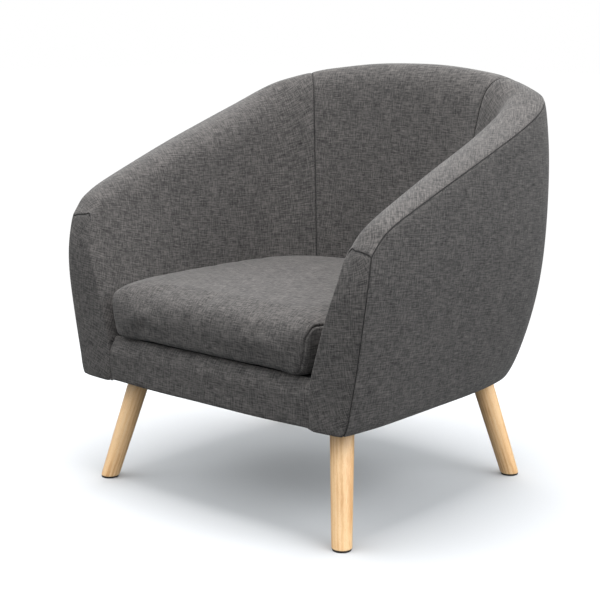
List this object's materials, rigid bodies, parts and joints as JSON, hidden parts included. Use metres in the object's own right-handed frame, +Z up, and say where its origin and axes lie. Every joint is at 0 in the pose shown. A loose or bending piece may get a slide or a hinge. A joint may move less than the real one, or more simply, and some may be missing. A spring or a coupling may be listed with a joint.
{
  "type": "upholstered tub armchair",
  "caption": "Upholstered tub armchair with a curved wrap-around back, sloping arms, a loose D-shaped seat cushion and splayed tapered wooden legs.",
  "frame": {"origin": "on the floor, under the middle of the whole chair", "axes": "+Z up, +Y from the front of the seat to the back, +X towards the arm on the right as the chair is seen from the front"},
  "size_m": [0.7266, 0.642, 0.7572],
  "materials": {
    "linen_weave": "charcoal heathered linen-look polyester weave",
    "beech": "clear satin lacquer",
    "pine": "sawn, unfinished",
    "fibreboard": "brown pressed fibre",
    "foam": "open-cell upholstery foam",
    "webbing": "elastic webbing",
    "lining_cloth": "black non-woven lining",
    "zip_tape": "woven zip tape",
    "zinc_steel": "zinc plated",
    "glide_felt": "dark pressed glide"
  },
  "bodies": {
    "root": {"apron_cover": "linen_weave", "arm_top_rail_left": "pine", "arm_top_rail_right": "pine", "back_post_left": "pine", "back_post_right": "pine", "back_rail": "pine", "back_top_rail": "pine", "corner_block_back_left": "pine", "corner_block_back_right": "pine", "corner_block_front_left": "pine", "corner_block_front_right": "pine", "cross_webbing_1": "webbing", "cross_webbing_2": "webbing", "cross_webbing_3": "webbing", "deck_cloth": "lining_cloth", "deck_foam": "foam", "dust_cover": "lining_cloth", "facing_left": "linen_weave", "facing_right": "linen_weave", "foam_back": "foam", "foam_left": "foam", "foam_right": "foam", "front_post_left": "pine", "front_post_right": "pine", "front_rail": "pine", "glide_back_left": "glide_felt", "glide_back_right": "glide_felt", "glide_front_left": "glide_felt", "glide_front_right": "glide_felt", "hanger_bolt_back_left": "zinc_steel", "hanger_bolt_back_right": "zinc_steel", "hanger_bolt_front_left": "zinc_steel", "hanger_bolt_front_right": "zinc_steel", "inner_cover_back": "linen_weave", "inner_cover_left": "linen_weave", "inner_cover_right": "linen_weave", "leg_back_left": "beech", "leg_back_right": "beech", "leg_front_left": "beech", "leg_front_right": "beech", "leg_plate_back_left": "zinc_steel", "leg_plate_back_right": "zinc_steel", "leg_plate_front_left": "zinc_steel", "leg_plate_front_right": "zinc_steel", "long_webbing_1": "webbing", "long_webbing_2": "webbing", "long_webbing_3": "webbing", "long_webbing_4": "webbing", "outer_board_back": "fibreboard", "outer_board_left": "fibreboard", "outer_board_right": "fibreboard", "outer_cover_back": "linen_weave", "outer_cover_left": "linen_weave", "outer_cover_right": "linen_weave", "side_rail_left": "pine", "side_rail_right": "pine"},
    "seat_cushion": {"cushion_cover": "linen_weave", "cushion_core": "foam", "cushion_zip": "zip_tape"}
  },
  "joints": [
    {"name": "cushion_lift", "type": "slide", "parent": "root", "child": "seat_cushion", "axis": [0, 0, 1], "range_m": [0, 0.5]}
  ]
}
